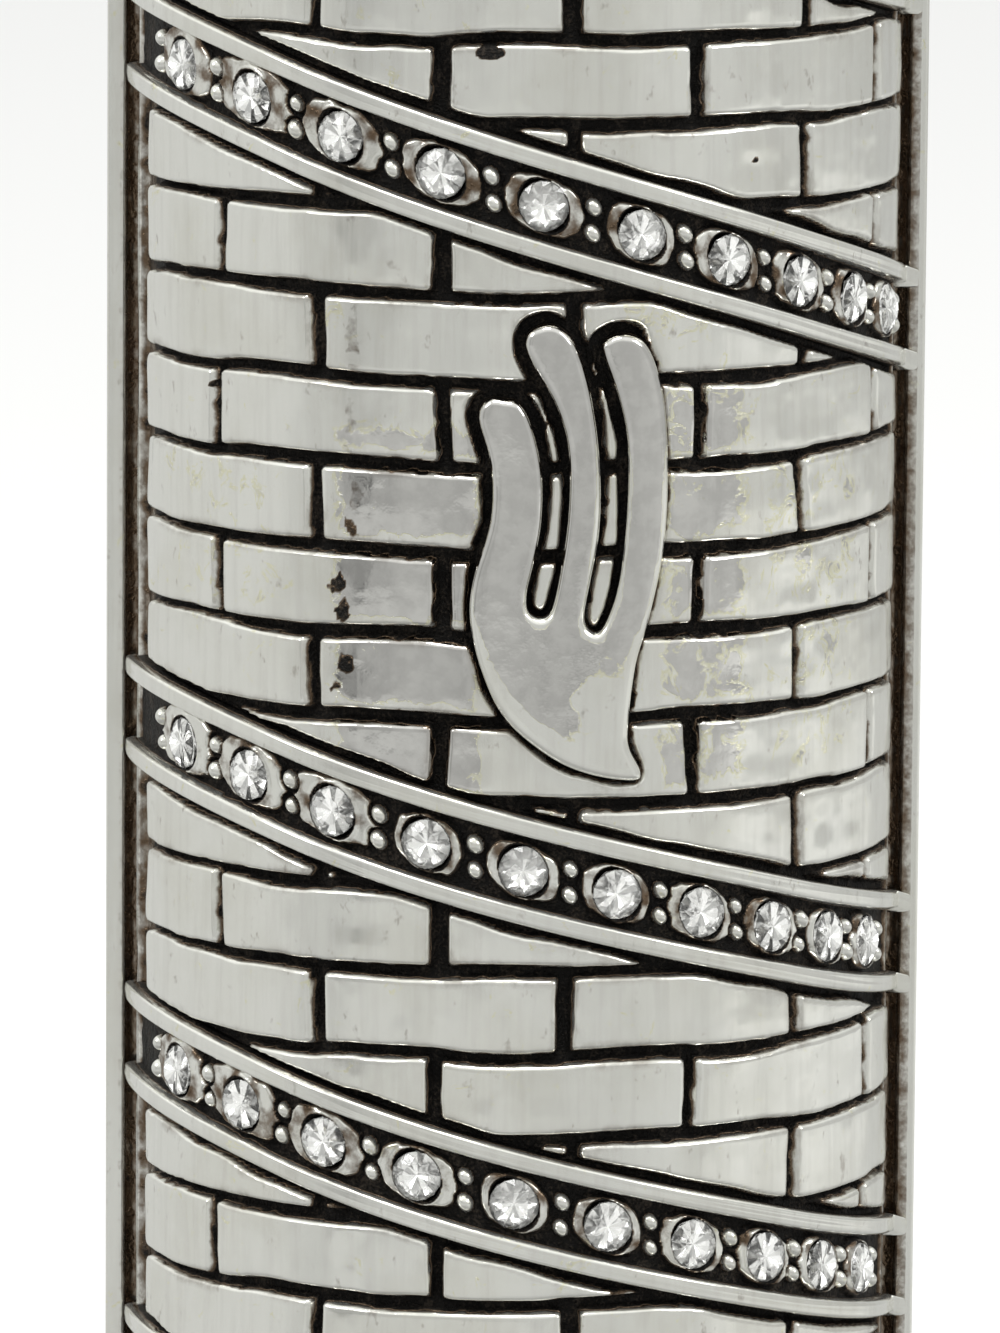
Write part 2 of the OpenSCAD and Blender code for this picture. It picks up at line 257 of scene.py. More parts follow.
def grid_faces(rows, columns):
    """Quads of a grid of points stored row by row."""
    index = np.arange(rows * columns).reshape(rows, columns)
    a, b, c, d = index[:-1, :-1], index[:-1, 1:], index[1:, 1:], index[1:, :-1]
    return np.stack([a, b, c, d], axis=-1).reshape(-1, 4)


# ---- Materials ----

class Nodes:
    """Short names for the few shader nodes that the materials and the world use."""

    def __init__(self, name="", tree=None):
        self.tree = tree
        if tree is None:
            self.material = bpy.data.materials.new(name)
            self.material.use_nodes = True
            self.tree = self.material.node_tree
            self.shader = self.tree.nodes["Principled BSDF"]
            self.place = self.node("ShaderNodeTexCoord").outputs["Object"]

    def node(self, kind, **settings):
        made = self.tree.nodes.new(kind)
        for key, value in settings.items():
            setattr(made, key, value)
        return made

    def put(self, value, socket):
        if isinstance(value, bpy.types.NodeSocket):
            self.tree.links.new(value, socket)
        else:
            socket.default_value = value

    def set(self, **values):
        for key, value in values.items():
            self.put(value, self.shader.inputs[key.replace("_", " ")])

    def attribute(self, name):
        return self.node("ShaderNodeAttribute", attribute_name=name).outputs["Fac"]

    def math(self, operation, *values):
        made = self.node("ShaderNodeMath", operation=operation)
        for value, socket in zip(values, made.inputs):
            self.put(value, socket)
        return made.outputs[0]

    def mix(self, factor, a, b):
        made = self.node("ShaderNodeMix", data_type="RGBA")
        self.put(factor, made.inputs["Factor"])
        for value, name in ((a, "A_Color"), (b, "B_Color")):
            socket = next(s for s in made.inputs if s.identifier == name)
            self.put(value, socket)
        return next(s for s in made.outputs if s.identifier == "Result_Color")

    def span(self, value, low, high, to_low=0.0, to_high=1.0):
        made = self.node("ShaderNodeMapRange", interpolation_type="SMOOTHSTEP")
        for item, socket in zip((value, low, high, to_low, to_high), made.inputs):
            self.put(item, socket)
        return made.outputs["Result"]

    def scaled(self, scale):
        made = self.node("ShaderNodeMapping")
        self.put(self.place, made.inputs["Vector"])
        made.inputs["Scale"].default_value = scale
        return made.outputs["Vector"]

    def noise(self, scale, detail=3.0, rough=0.5, stretch=(1, 1, 1), distortion=0.0):
        made = self.node("ShaderNodeTexNoise")
        self.put(self.scaled(stretch), made.inputs["Vector"])
        made.inputs["Scale"].default_value = scale
        made.inputs["Detail"].default_value = detail
        made.inputs["Roughness"].default_value = rough
        made.inputs["Distortion"].default_value = distortion
        return made.outputs["Fac"]

    def bump(self, height, distance, strength=1.0, under=None):
        made = self.node("ShaderNodeBump")
        made.inputs["Strength"].default_value = strength
        made.inputs["Distance"].default_value = distance
        self.put(height, made.inputs["Height"])
        if under is not None:
            self.put(under, made.inputs["Normal"])
        return made.outputs["Normal"]


SILVER = (0.885, 0.885, 0.835, 1)
SILVER_WARM = (0.82, 0.815, 0.75, 1)
SILVER_WORN = (0.80, 0.79, 0.76, 1)
PIT_SHADE = 0.9            # how bright the pits are, against the rest, where the lacquer is gone
OXIDE = (0.009, 0.008, 0.007, 1)
OXIDE_BROWN = (0.065, 0.052, 0.04, 1)
OXIDE_RIM = (0.16, 0.11, 0.07, 1)
LACQUER_STAIN = (0.85, 0.83, 0.60, 1)


def silver_finish(n, patina, brown, worn=0.0, stain=0.0, grime=None):
    """Silver plate under thin lacquer. patina is 1 in black oxide and brown is 1 at its rim.

    worn is 1 where the lacquer is gone, stain where it has yellowed and grime where dirt has gathered.
    """
    cloud = n.noise(180, detail=4, rough=0.6)
    streak = n.noise(60, detail=3, rough=0.55, stretch=(14, 14, 1))
    grain = n.noise(9000, detail=2, rough=0.6)
    fleck = n.noise(1500, detail=3, rough=0.7, stretch=(1, 1, 0.6))
    clean = n.mix(n.span(cloud, 0.4, 0.7), SILVER, SILVER_WARM)
    drawn = n.noise(420, detail=4, rough=0.6, stretch=(5, 5, 0.35))
    clean = n.mix(n.span(drawn, 0.42, 0.72, 0.0, 0.07), clean, OXIDE_RIM)
    clean = n.mix(n.span(fleck, 0.62, 0.78, 0.0, 0.4), clean, OXIDE_RIM)
    clean = n.mix(stain, clean, LACQUER_STAIN)
    pebble = n.noise(1500, detail=3, rough=0.5)
    dull = tuple(PIT_SHADE * c for c in SILVER_WORN[:3]) + (1,)
    clean = n.mix(worn, clean, n.mix(n.span(pebble, 0.35, 0.65), SILVER_WORN, dull))
    if grime is not None:
        clean = n.mix(n.math("MULTIPLY", grime, n.span(fleck, 0.35, 0.6, 0.05, 0.42)), clean, OXIDE_RIM)
    rim = n.mix(brown, clean, OXIDE_RIM)
    mottle = n.math("ADD", n.math("MULTIPLY", grain, 0.5), n.math("MULTIPLY", fleck, 0.5))
    dark = n.mix(n.span(mottle, 0.48, 0.68), OXIDE, OXIDE_BROWN)
    n.set(Base_Color=n.mix(patina, rim, dark))
    lacquered = n.span(worn, 0.0, 1.0, 0.86, 1.0)
    n.set(Metallic=n.math("MULTIPLY", lacquered, n.span(patina, 0.0, 1.0, 1.0, 0.7)))
    polish = n.math("ADD", n.span(streak, 0.35, 0.7, 0.12, 0.22), n.span(cloud, 0.5, 0.75, 0.0, 0.05))
    polish = n.math("SUBTRACT", polish, n.math("MULTIPLY", worn, 0.08))
    n.set(Roughness=n.math("ADD", polish, n.math("MULTIPLY", patina, 0.42)))
    pitted = n.math("MULTIPLY", n.math("MULTIPLY", pebble, worn), 0.3)
    fine = n.bump(n.math("ADD", n.math("MULTIPLY", streak, 0.4), pitted), 0.00004)
    n.set(Normal=n.bump(n.math("MULTIPLY", grain, patina), 0.00015, under=fine))


def worn_lacquer(n):
    """1 in the ragged patches where the lacquer has worn off, and the yellow stain that edges them."""
    ragged = n.noise(1000, detail=6, rough=0.72, distortion=0.8)
    level = n.math("ADD", n.attribute("wear"), n.math("MULTIPLY", n.math("SUBTRACT", ragged, 0.5), 2.6))
    return n.span(level, 0.5, 0.53), n.span(level, 0.3, 0.5, 0.0, 0.9)


def relief_silver():
    """Silver for the front, blackened where each mesh says so."""
    n = Nodes("relief_silver")
    ragged = n.noise(2600, detail=3, rough=0.65)
    edge = n.math("ADD", n.attribute("patina"), n.math("MULTIPLY", n.math("SUBTRACT", ragged, 0.5), 0.5))
    worn, stain = worn_lacquer(n)
    black, brown = n.span(edge, 0.45, 0.7), n.span(edge, 0.15, 0.5)
    silver_finish(n, black, brown, worn, stain, n.attribute("grime"))
    return n.material


def cap_silver(dark_low, dark_high):
    """Silver for a turned cap, black in the hollow between two heights either side of the middle."""
    n = Nodes("cap_silver")
    split = n.node("ShaderNodeSeparateXYZ")
    n.put(n.place, split.inputs[0])
    height = n.math("ABSOLUTE", split.outputs["Z"])
    ragged = n.math("MULTIPLY", n.math("SUBTRACT", n.noise(900, detail=3), 0.5), 0.0009)
    height = n.math("ADD", height, ragged)
    soft = 0.0004
    inside = n.math("MULTIPLY", n.span(height, dark_low - soft, dark_low + soft),
                    n.span(height, dark_high + soft, dark_high - soft))
    silver_finish(n, inside, inside)
    return n.material


def cut_glass():
    n = Nodes("cut_glass")
    n.set(Base_Color=(1.0, 1.0, 0.99, 1), Roughness=0.0, IOR=1.6, Transmission_Weight=1.0)
    return n.material


def foil():
    n = Nodes("foil_back")
    n.set(Base_Color=(0.86, 0.86, 0.85, 1), Metallic=1.0, Roughness=0.16)
    return n.material


def moulded_plastic():
    n = Nodes("moulded_plastic")
    fleck = n.noise(700, detail=4, rough=0.6)
    n.set(Base_Color=n.mix(n.span(fleck, 0.3, 0.7), (0.018, 0.018, 0.02, 1), (0.035, 0.035, 0.038, 1)))
    n.set(Roughness=n.span(fleck, 0.3, 0.7, 0.45, 0.6))
    n.set(Normal=n.bump(n.noise(3500, detail=2), 0.00003))
    return n.material


def brushed_metal(name, colour, rough, along):
    n = Nodes(name)
    lines = n.noise(900, detail=4, rough=0.7, stretch=along)
    cloud = n.noise(120, detail=3)
    dull = tuple(0.86 * c for c in colour[:3]) + (1,)
    n.set(Base_Color=n.mix(n.span(cloud, 0.35, 0.7), colour, dull), Metallic=1.0)
    n.set(Roughness=n.span(lines, 0.3, 0.7, rough - 0.07, rough + 0.1))
    n.set(Normal=n.bump(lines, 0.00002))
    return n.material


def parchment():
    n = Nodes("parchment")
    mottle = n.noise(220, detail=5, rough=0.65)
    fibre = n.noise(1400, detail=4, rough=0.7, stretch=(1, 1, 0.25))
    warm = n.mix(n.span(mottle, 0.35, 0.7), (0.72, 0.60, 0.40, 1), (0.60, 0.46, 0.27, 1))
    n.set(Base_Color=n.mix(n.span(fibre, 0.55, 0.75, 0.0, 0.45), warm, (0.45, 0.32, 0.17, 1)))
    n.set(Roughness=n.span(fibre, 0.3, 0.7, 0.55, 0.75), Subsurface_Weight=0.08)
    n.set(Normal=n.bump(fibre, 0.00005))
    return n.material


def clear_film():
    n = Nodes("clear_film")
    crease = n.noise(300, detail=3, stretch=(1, 1, 0.2))
    n.set(Base_Color=(0.97, 0.98, 1.0, 1), IOR=1.3, Transmission_Weight=1.0)
    n.set(Roughness=n.span(crease, 0.4, 0.7, 0.03, 0.12))
    n.set(Normal=n.bump(crease, 0.0001, 0.5))
    return n.material


RELIEF = relief_silver()
GLASS = cut_glass()
FOIL = foil()

# ---- Emblem outline ----

def smooth_loop(outline, steps):
    """The same closed curve through the outline's points that the CAD model uses."""
    p = np.array(outline)
    before, after, later = np.roll(p, 1, 0), np.roll(p, -1, 0), np.roll(p, -2, 0)
    rows = []
    for t in np.arange(steps) / steps:
        rows.append(0.5 * (2 * p + (after - before) * t
                           + (2 * before - 5 * p + 4 * after - later) * t ** 2
                           + (3 * p - before - 3 * after + later) * t ** 3))
    return np.stack(rows, axis=1).reshape(-1, 2)


EMBLEM_NUDGE = (-0.17, 0.32)    # the letter sits this far right of and above its place in the CAD model
OUTLINE = smooth_loop(EMBLEM_OUTLINE, 5) + EMBLEM_NUDGE


def outline_distance(x, z):
    """Distance from the emblem's outline, positive outside it."""
    shape = x.shape
    q = np.stack([x.ravel(), z.ravel()], axis=-1)
    best = np.full(len(q), 1e9)
    inside = np.zeros(len(q), bool)
    for p1, p2 in zip(OUTLINE, np.roll(OUTLINE, -1, 0)):
        side = p2 - p1
        t = np.clip(((q - p1) @ side) / (side @ side), 0, 1)
        best = np.minimum(best, np.linalg.norm(q - p1 - t[:, None] * side, axis=1))
        crosses = (p1[1] > q[:, 1]) != (p2[1] > q[:, 1])
        if side[1] != 0:
            inside ^= crosses & (q[:, 0] < p1[0] + (q[:, 1] - p1[1]) * side[0] / side[1])
    return np.where(inside, -best, best).reshape(shape)


# ---- Brick relief ----

def brick_edge(a, z):
    """Each point's distance in from its brick's edge, below 0 in the joints, and its place in the wall."""
    s = arc(a)
    sw = s + 0.07 * noise(s, z, 2.4, 11) + 0.02 * noise(s, z, 0.7, 12)
    zw = z + 0.13 * noise(s, z, 4.6, 13) + 0.04 * noise(s, z, 1.6, 14) + 0.012 * noise(s, z, 0.5, 15)
    up = zw - COURSE_TOP
    course = np.floor(up / COURSE_H).astype(int)
    into = up - course * COURSE_H
    width = ROW_JOINT * (1 + 0.25 * noise(s, course * 5.0, 3.1, 16)) * (1 - 0.4 * ramp(30, 65, np.abs(a)))
    row = np.minimum(into, COURSE_H - into) - width / 2

    first = np.where(course % 2 == 0, 0.5, -0.5)
    half = arc(HALF_BRICK)
    at = (sw - arc(BRICK_SHIFT)) / half + first
    brick = np.floor(at / 2).astype(int)
    side = np.full(s.shape, 1e9)
    middle = ramp(35, 12, np.abs(a))
    for step in (0, 1):
        number = brick + step
        place = (2 * number - first) * half + arc(BRICK_SHIFT)
        place = place + 0.16 * scatter(course, number, 21)
        lean = 0.05 * scatter(course, number, 22)
        taper = 0.45 * scatter(course, number, 23)
        share = into / COURSE_H - 0.5
        joint = SIDE_JOINT * (1 + 0.2 * scatter(course, number, 24)) * (1 + 0.25 * middle)
        joint = joint * (1 + taper * share)
        from_joint = np.abs(sw - place - lean * (into - COURSE_H / 2)) - joint / 2
        side = np.where(place > arc(JOINT_LAST_LEFT), np.minimum(side, from_joint), side)
    edge = soft_min(row, side, 0.15)
    last = arc(np.where(s < 0, BRICK_LAST_LEFT, BRICK_LAST_RIGHT))
    edge = soft_min(edge, last - np.abs(sw), 0.3)
    return edge, course, brick, into, sw


# Where the lacquer is worn: lowest and highest x, lowest and highest z, and how fully
WORN = ((-6.6, -1.0, -9.4, 4.2, 1.0), (-4.6, 2.5, -12.8, -9.4, 0.55), (5.0, 8.6, -9.2, 5.6, 0.72),
        (8.5, 12.6, -9.0, 3.5, 0.28), (3.5, 10, 7.0, 9.0, 0.4), (-13, -8.5, -4, 3, 0.2))
# Where a chip shows black: place round the front and up, and size
CHIPS = ((-1.0, 17.4, 0.35), (-0.3, 15.9, 0.2), (-12.6, 4.9, 0.2), (9.1, 13.4, 0.15))
# Dark marks painted on the bricks where they mirror the tent's dark strip, a painted reflection: place
# round the front and up, half width, half height, and how dark
DARK_REFLECTION_MARKS = ((-6.6, -1.8, 0.28, 0.42, 0.75), (-6.4, -2.7, 0.22, 0.4, 0.7), (-6.3, -4.6, 0.3, 0.34, 0.75),
           (-6.5, -5.5, 0.26, 0.3, 0.72), (-6.1, 0.3, 0.2, 0.35, 0.56), (-5.9, 1.2, 0.2, 0.6, 0.3),
           (-6.1, 3.9, 0.22, 1.2, 0.26), (-6.0, 7.1, 0.25, 1.2, 0.28))


def trimmed(edge, a, z):
    """A brick's edge distance, cut back where the bands and the letter stand."""
    s = arc(a)
    for k in range(1, BANDS + 1):
        off = np.abs(z - band_height(k, a)) * BAND_TILT
        gap = BAND_W / 2 * band_breadth(a) * BAND_TILT + 0.27 + 0.09 * noise(s, z, 1.7, 30 + k)
        edge = soft_min(edge, off - gap, 0.16)
    # The gap round the letter is narrow along its right arm and wide at its other tips
    near = (np.abs(a) < 28) & (np.abs(z + 0.8) < 10)
    if near.any():
        away = np.full(a.shape, 1e9)
        x = BRICK_R * np.sin(np.radians(a[near]))
        away[near] = outline_distance(x, z[near])
        left_side, right_side = ramp(2.0, 0.5, s), ramp(4.4, 5.0, s)
        tips = ramp(-0.5, 6.0, z + 3.2 * left_side - 5.5 * right_side)
        moat = 0.16 - 0.13 * right_side + 0.03 * left_side + 0.24 * tips
        edge = soft_min(edge, away - moat - 0.06 * noise(s, z, 0.9, 41), 0.12)
    return edge


def brick_face(s, z, edge, course, brick, into, sw):
    """Radius of the bricks' faces, each tilted a little, uneven by hand and rounded towards its edges."""
    centre = (brick + 0.5) * 2 * arc(HALF_BRICK)
    tilt = (0.035 * scatter(course, brick, 51) * (into - COURSE_H / 2) / COURSE_H * 2
            + 0.03 * scatter(course, brick, 52) * np.clip((sw - centre) / arc(HALF_BRICK), -1, 1))
    hand = 0.032 * noise(s, z, 2.6, 53) + 0.016 * noise(s, z, 1.0, 54) + 0.003 * noise(s, z, 0.42, 56)
    return BRICK_R - 0.03 + tilt + hand - 0.014 * (1 - np.clip(edge / 0.8, 0, 1)) ** 2


def bare_silver(s, z, edge, field):
    """1 where the brick faces are bright, 0 in the joints, in the chips and in the painted marks of dark
    reflection.
    """
    # The oxide's rim is more ragged round the letter
    rough = 0.03 + 0.05 * ramp(12, 9, np.hypot(1.3 * s - 2.5, z + 0.8))
    bare = ramp(-0.06, 0.07, edge + rough * noise(s, z, 0.35, 58)) * field
    for chip_s, chip_z, size in CHIPS:
        away = np.hypot(s - chip_s, 1.6 * (z - chip_z)) + 0.35 * noise(s, z, 0.5, 63)
        bare = bare * ramp(0.7 * size, 1.3 * size, away)
    # Painted reflection: near-black marks along the edge of the dark strip that the bricks mirror
    mark_edge = 0.7 * noise(s, z, 0.4, 66) + 0.5 * noise(s, z, 0.17, 67)
    for mark_s, mark_z, wide, tall, strength in DARK_REFLECTION_MARKS:
        away = np.hypot((s - mark_s) / wide, (z - mark_z) / tall) + mark_edge
        bare = np.minimum(bare, 1 - strength * ramp(1.3, 0.6, away))
    return bare


def lacquer_wear(a, z, into):
    """How fully the lacquer is worn, from 0 to 1, least along the foot of each course."""
    x = BRICK_R * np.sin(np.radians(a))
    wear = np.zeros(a.shape)
    for x_low, x_high, z_low, z_high, strength in WORN:
        inside = np.minimum(np.minimum(x - x_low, x_high - x), np.minimum(z - z_low, z_high - z))
        wear = np.maximum(wear, strength * ramp(-0.3, 0.9, inside))
    return wear * ramp(0.25, 0.85, into + 0.25 * noise(arc(a), z, 1.1, 61))


def relief(a, z):
    """Radius of the facing at each angle and height, with its patina, wear and grime from 0 to 1."""
    s = arc(a)
    edge, course, brick, into, sw = brick_edge(a, z)
    edge = trimmed(edge, a, z)
    wall = ramp(-0.1, 0.07, edge)
    shoulder = 1 - (1 - np.clip((edge + 0.03) / 0.2, 0, 1)) ** 2
    rise = 0.78 * wall + 0.22 * shoulder
    face = brick_face(s, z, edge, course, brick, into, sw)
    floor = GROUND_R + 0.03 * noise(s, z, 0.45, 55) + 0.02 * noise(s, z, 0.2, 62)
    last = np.where(a < 0, BRICK_LAST_LEFT, BRICK_LAST_RIGHT)
    field = ramp(last + 1.5, last, np.abs(a))
    r = floor + (face - floor) * rise * field
    ridge = np.exp(-((np.abs(a) - RIDGE_ANGLE - 0.25 * noise(s * 0 + np.sign(a), z, 5.0, 57)) / 0.62) ** 2)
    r = np.maximum(r, GROUND_R + (RIDGE_R - GROUND_R) * ridge)

    patina = 1 - np.maximum(bare_silver(s, z, edge, field), 0.6 * ramp(0.55, 0.9, ridge))
    side = ramp(last + 1, last + 7, np.abs(a))
    patina = patina * (1 - side * (0.5 + 0.16 * noise(s, z, 0.5, 59) + 0.12 * noise(s * 3, z, 1.6, 60)))
    grime = ramp(0.34, 0.0, edge + 0.1 * noise(s, z, 0.9, 64)) * ramp(-0.1, 0.6, noise(s, z, 2.2, 65))
    return r, patina, lacquer_wear(a, z, into), grime


# The facing is made in this many closed stretches, from grids this fine
PANELS = 7
ROW_STEP = 0.1
ARC_LIMIT = 87.4
ARC_COLUMNS = 432
INNER_R = 13.03            # radius of the hollow behind it
# The stain on the front of each flange: how wide and how dark
LEFT_STAIN = (0.25, 0.2)
RIGHT_STAIN = (0.42, 0.42)


def flange_outline(dull, stain):
    """x, y and patina of the left flange, from the back, round its front, to the side groove.

    Its front is stained from the groove to dull millimetres out, and clean past that.
    """
    half, front, back = HALF_W, AXIS_Y - FLANGE_FRONT, BACK_Y
    inner = half - FLANGE_W
    turn = 0.12
    bend = [(half - turn + turn * math.cos(t), front + turn - turn * math.sin(t), 0.0)
            for t in np.radians((0, 30, 60, 90))]
    bend += [(inner + dull + 0.05, front, 0.0), (inner + dull, front, 0.7 * stain)]
    bend += [(inner + turn - turn * math.sin(t), front + turn - turn * math.cos(t), stain)
             for t in np.radians((0, 30, 60, 90))]
    side = [(half, y, 0.0) for y in np.linspace(back, front + turn, 5)[:-1]]
    floor = [(inner, AXIS_Y - 0.75, 0.3), (inner - 0.06, AXIS_Y - 0.62, 0.52),
             (inner - 0.35, AXIS_Y - 0.6, 0.45)]
    return [(-x, y, p) for x, y, p in side + bend + floor]


def facing_panel(number, material):
    """One stretch of the facing as a closed solid, cut at joints between courses."""
    courses = np.ceil((BODY_LOW - COURSE_TOP) / COURSE_H), np.floor((BODY_TOP - COURSE_TOP) / COURSE_H)
    cuts = COURSE_TOP + COURSE_H * np.round(np.linspace(courses[0] - 1, courses[1] + 1, PANELS + 1))
    low, high = max(cuts[number], BODY_LOW), min(cuts[number + 1], BODY_TOP)
    heights = np.linspace(low, high, int(round((high - low) / ROW_STEP)) + 1)
    angles = np.linspace(-ARC_LIMIT, ARC_LIMIT, ARC_COLUMNS)
    a, z = np.meshgrid(angles, heights)
    r, dark, wear, grime = relief(a, z)
    field = on_round(r, a, z)
    left = flange_outline(*LEFT_STAIN)
    right = [(-x, y, p) for x, y, p in reversed(flange_outline(*RIGHT_STAIN))]

    def strip(side):
        xy = np.array([(x, y) for x, y, p in side])
        points = np.zeros((len(heights), len(side), 3))
        points[:, :, :2] = xy
        points[:, :, 2] = heights[:, None]
        return points, np.tile([p for x, y, p in side], (len(heights), 1))

    left_points, left_dark = strip(left)
    right_points, right_dark = strip(right)
    outer = np.concatenate([left_points, field, right_points], axis=1)
    patina = np.concatenate([left_dark, dark, right_dark], axis=1)
    rows, columns = outer.shape[:2]

    # The hollow behind the front, just wider than the core at its back
    core = node_box("core_shell")[1][0] + 0.03
    shoulder = AXIS_Y - 0.43
    turn = math.degrees(math.acos((AXIS_Y - shoulder) / INNER_R))
    inner = [(core, BACK_Y), (core, shoulder)]
    inner += [(INNER_R * math.sin(t), AXIS_Y - INNER_R * math.cos(t))
              for t in np.radians(np.linspace(turn, -turn, 25))]
    inner += [(-core, shoulder), (-core, BACK_Y)]
    count = len(inner)
    ends = np.zeros((2, count, 3))
    ends[:, :, :2] = np.array(inner)
    ends[0, :, 2], ends[1, :, 2] = low, high
    points = np.concatenate([outer.reshape(-1, 3), ends.reshape(-1, 3)])

    # Faces that close the solid: the hollow, the back edges and both cut ends
    first = rows * columns
    bottom, top = list(range(first, first + count)), list(range(first + count, first + 2 * count))
    grid = np.arange(rows * columns).reshape(rows, columns)
    inside = [[bottom[i], bottom[i + 1], top[i + 1], top[i]] for i in range(count - 1)]
    right_back = [bottom[0], top[0]] + list(grid[::-1, -1])
    left_back = [top[-1], bottom[-1]] + list(grid[:, 0])
    caps = [list(grid[0][::-1]) + bottom[::-1], list(grid[-1]) + top]

    values = {"patina": np.concatenate([patina.ravel(), np.zeros(2 * count)])}
    for key, value in (("wear", wear), ("grime", grime)):
        whole = np.zeros((rows, columns))
        whole[:, len(left):-len(right)] = value
        values[key] = np.concatenate([whole.ravel(), np.zeros(2 * count)])
    piece = build(f"facing_{number + 1}", points, grid_faces(rows, columns), CASE, material,
                  flat=inside + [right_back, left_back] + caps, values=values)
    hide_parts("silver_facing")


# ---- Gem bands ----

# Angles that a band runs between, where its rails turn on to the flange, and how fine its grid is
BAND_FROM = -85.0
BAND_TO = 88.0
RAIL_BEND = 84.0
BAND_COLUMNS = 765
BAND_ROWS = 85


def bead_reaches(k, a, q):
    """For each bead of band k, its place in the row, its side, and how far every point is from it."""
    for i in range(GEMS + 1):
        for side in (-1, 1):
            p = arc(a - gem_angle(k, i - 0.5)) / BAND_TILT - 0.06 * scatter(i, k, 62 + side)
            yield i, side, np.hypot(p, q - side * BEAD_OUT * band_breadth(a))


def band_relief(k, a, v):
    """Radius of a gem band at each angle and each height v above its middle line, with its patina."""
    s = arc(a) / BAND_TILT
    half = BAND_W / 2 * band_breadth(a)
    out = half - np.abs(v)
    seed = 100 * k

    # The sunk floor, and a flat rail with drawn lines along each edge
    floor = BAND_FLOOR_R + 0.03 * noise(s, v, 0.3, seed)
    across = (out - RAIL_W / 2) / (RAIL_W / 2)
    crown = np.clip(1 - np.abs(across) ** 8, 0, 1) ** 0.6
    lines = 0.007 * np.cos(across * 7 + 2 * noise(s, s * 0, 9, seed + 5))
    lines = lines + 0.007 * noise(s * 0.06, v * 5, 0.6, seed + 1)
    rail = BAND_FLOOR_R + (RAIL_R - BAND_FLOOR_R - 0.05) * crown + (lines - 0.012 * across ** 2) * crown
    r = np.where(np.abs(across) < 1, np.maximum(floor, rail), floor)
    bare = ramp(BAND_FLOOR_R + 0.1, BAND_FLOOR_R + 0.3, r + 0.06 * noise(s, v, 0.35, seed + 2))

    # Settings: a raised pad with a hole for each stone and a dark pocket round each bead. Towards the left
    # more of the space between the stones is flooded with silver.
    hole = np.zeros(a.shape)
    pocket = np.zeros(a.shape)
    q = v * BAND_TILT
    rough = 0.05 * noise(s, v, 0.4, seed + 3) + 0.015 * noise(s, v, 0.16, seed + 4)
    for i, side, reach in bead_reaches(k, a, q):
        pocket = np.maximum(pocket, ramp(0.5, 0.36, reach + 0.6 * rough))
    for i in range(GEMS):
        p = arc(a - gem_angle(k, i)) / BAND_TILT
        reach = np.hypot(p, q)
        flooded = ramp(-8, -34, gem_angle(k, i)) * (0.85 + 0.15 * scatter(i, k, 66))
        long = 1.42 + 0.16 * scatter(i, k, 61) + 0.6 * flooded
        wide = 1.02 + 0.12 * flooded
        rho = ((np.abs(p) / long) ** 2.4 + (np.abs(q - 0.1 * flooded) / wide) ** 2.4) ** (1 / 2.4) + rough
        rho = np.minimum(rho, reach / 1.02)
        solid = ramp(1.1, 0.88, rho) * (1 - pocket * ramp(1.0, 1.08, reach))
        pad = BAND_FLOOR_R + 0.36 * solid + 0.06 * np.exp(-((reach - 1.0) / 0.05) ** 2)
        r = np.maximum(r, pad * (solid > 0.02))
        clean = np.clip(0.72 + 0.26 * noise(s, v, 0.5, seed + 6), 0, 1)
        bare = np.maximum(bare, ramp(0.4, 0.85, solid) * clean)
        bare = bare * (1 - 0.9 * ramp(0.045, 0.02, np.abs(reach - 0.93)))
        hole = np.maximum(hole, ramp(0.9, 0.85, reach))

    for i, side, reach in bead_reaches(k, a, q):
        size = BEAD_R * (1 + 0.1 * scatter(i, k, 65 + side))
        ball = BAND_FLOOR_R + 0.06 + size * 1.3 * np.sqrt(np.clip(1 - (reach / size) ** 2, 0, 1))
        r = np.where(reach < size, np.maximum(r, ball), r)
        bare = np.maximum(bare, ramp(size * 1.02, size * 0.88, reach))
    r = r * (1 - hole) + (UNDER_R + 0.03) * hole
    bare = bare * (1 - hole)
    return r, 1 - bare


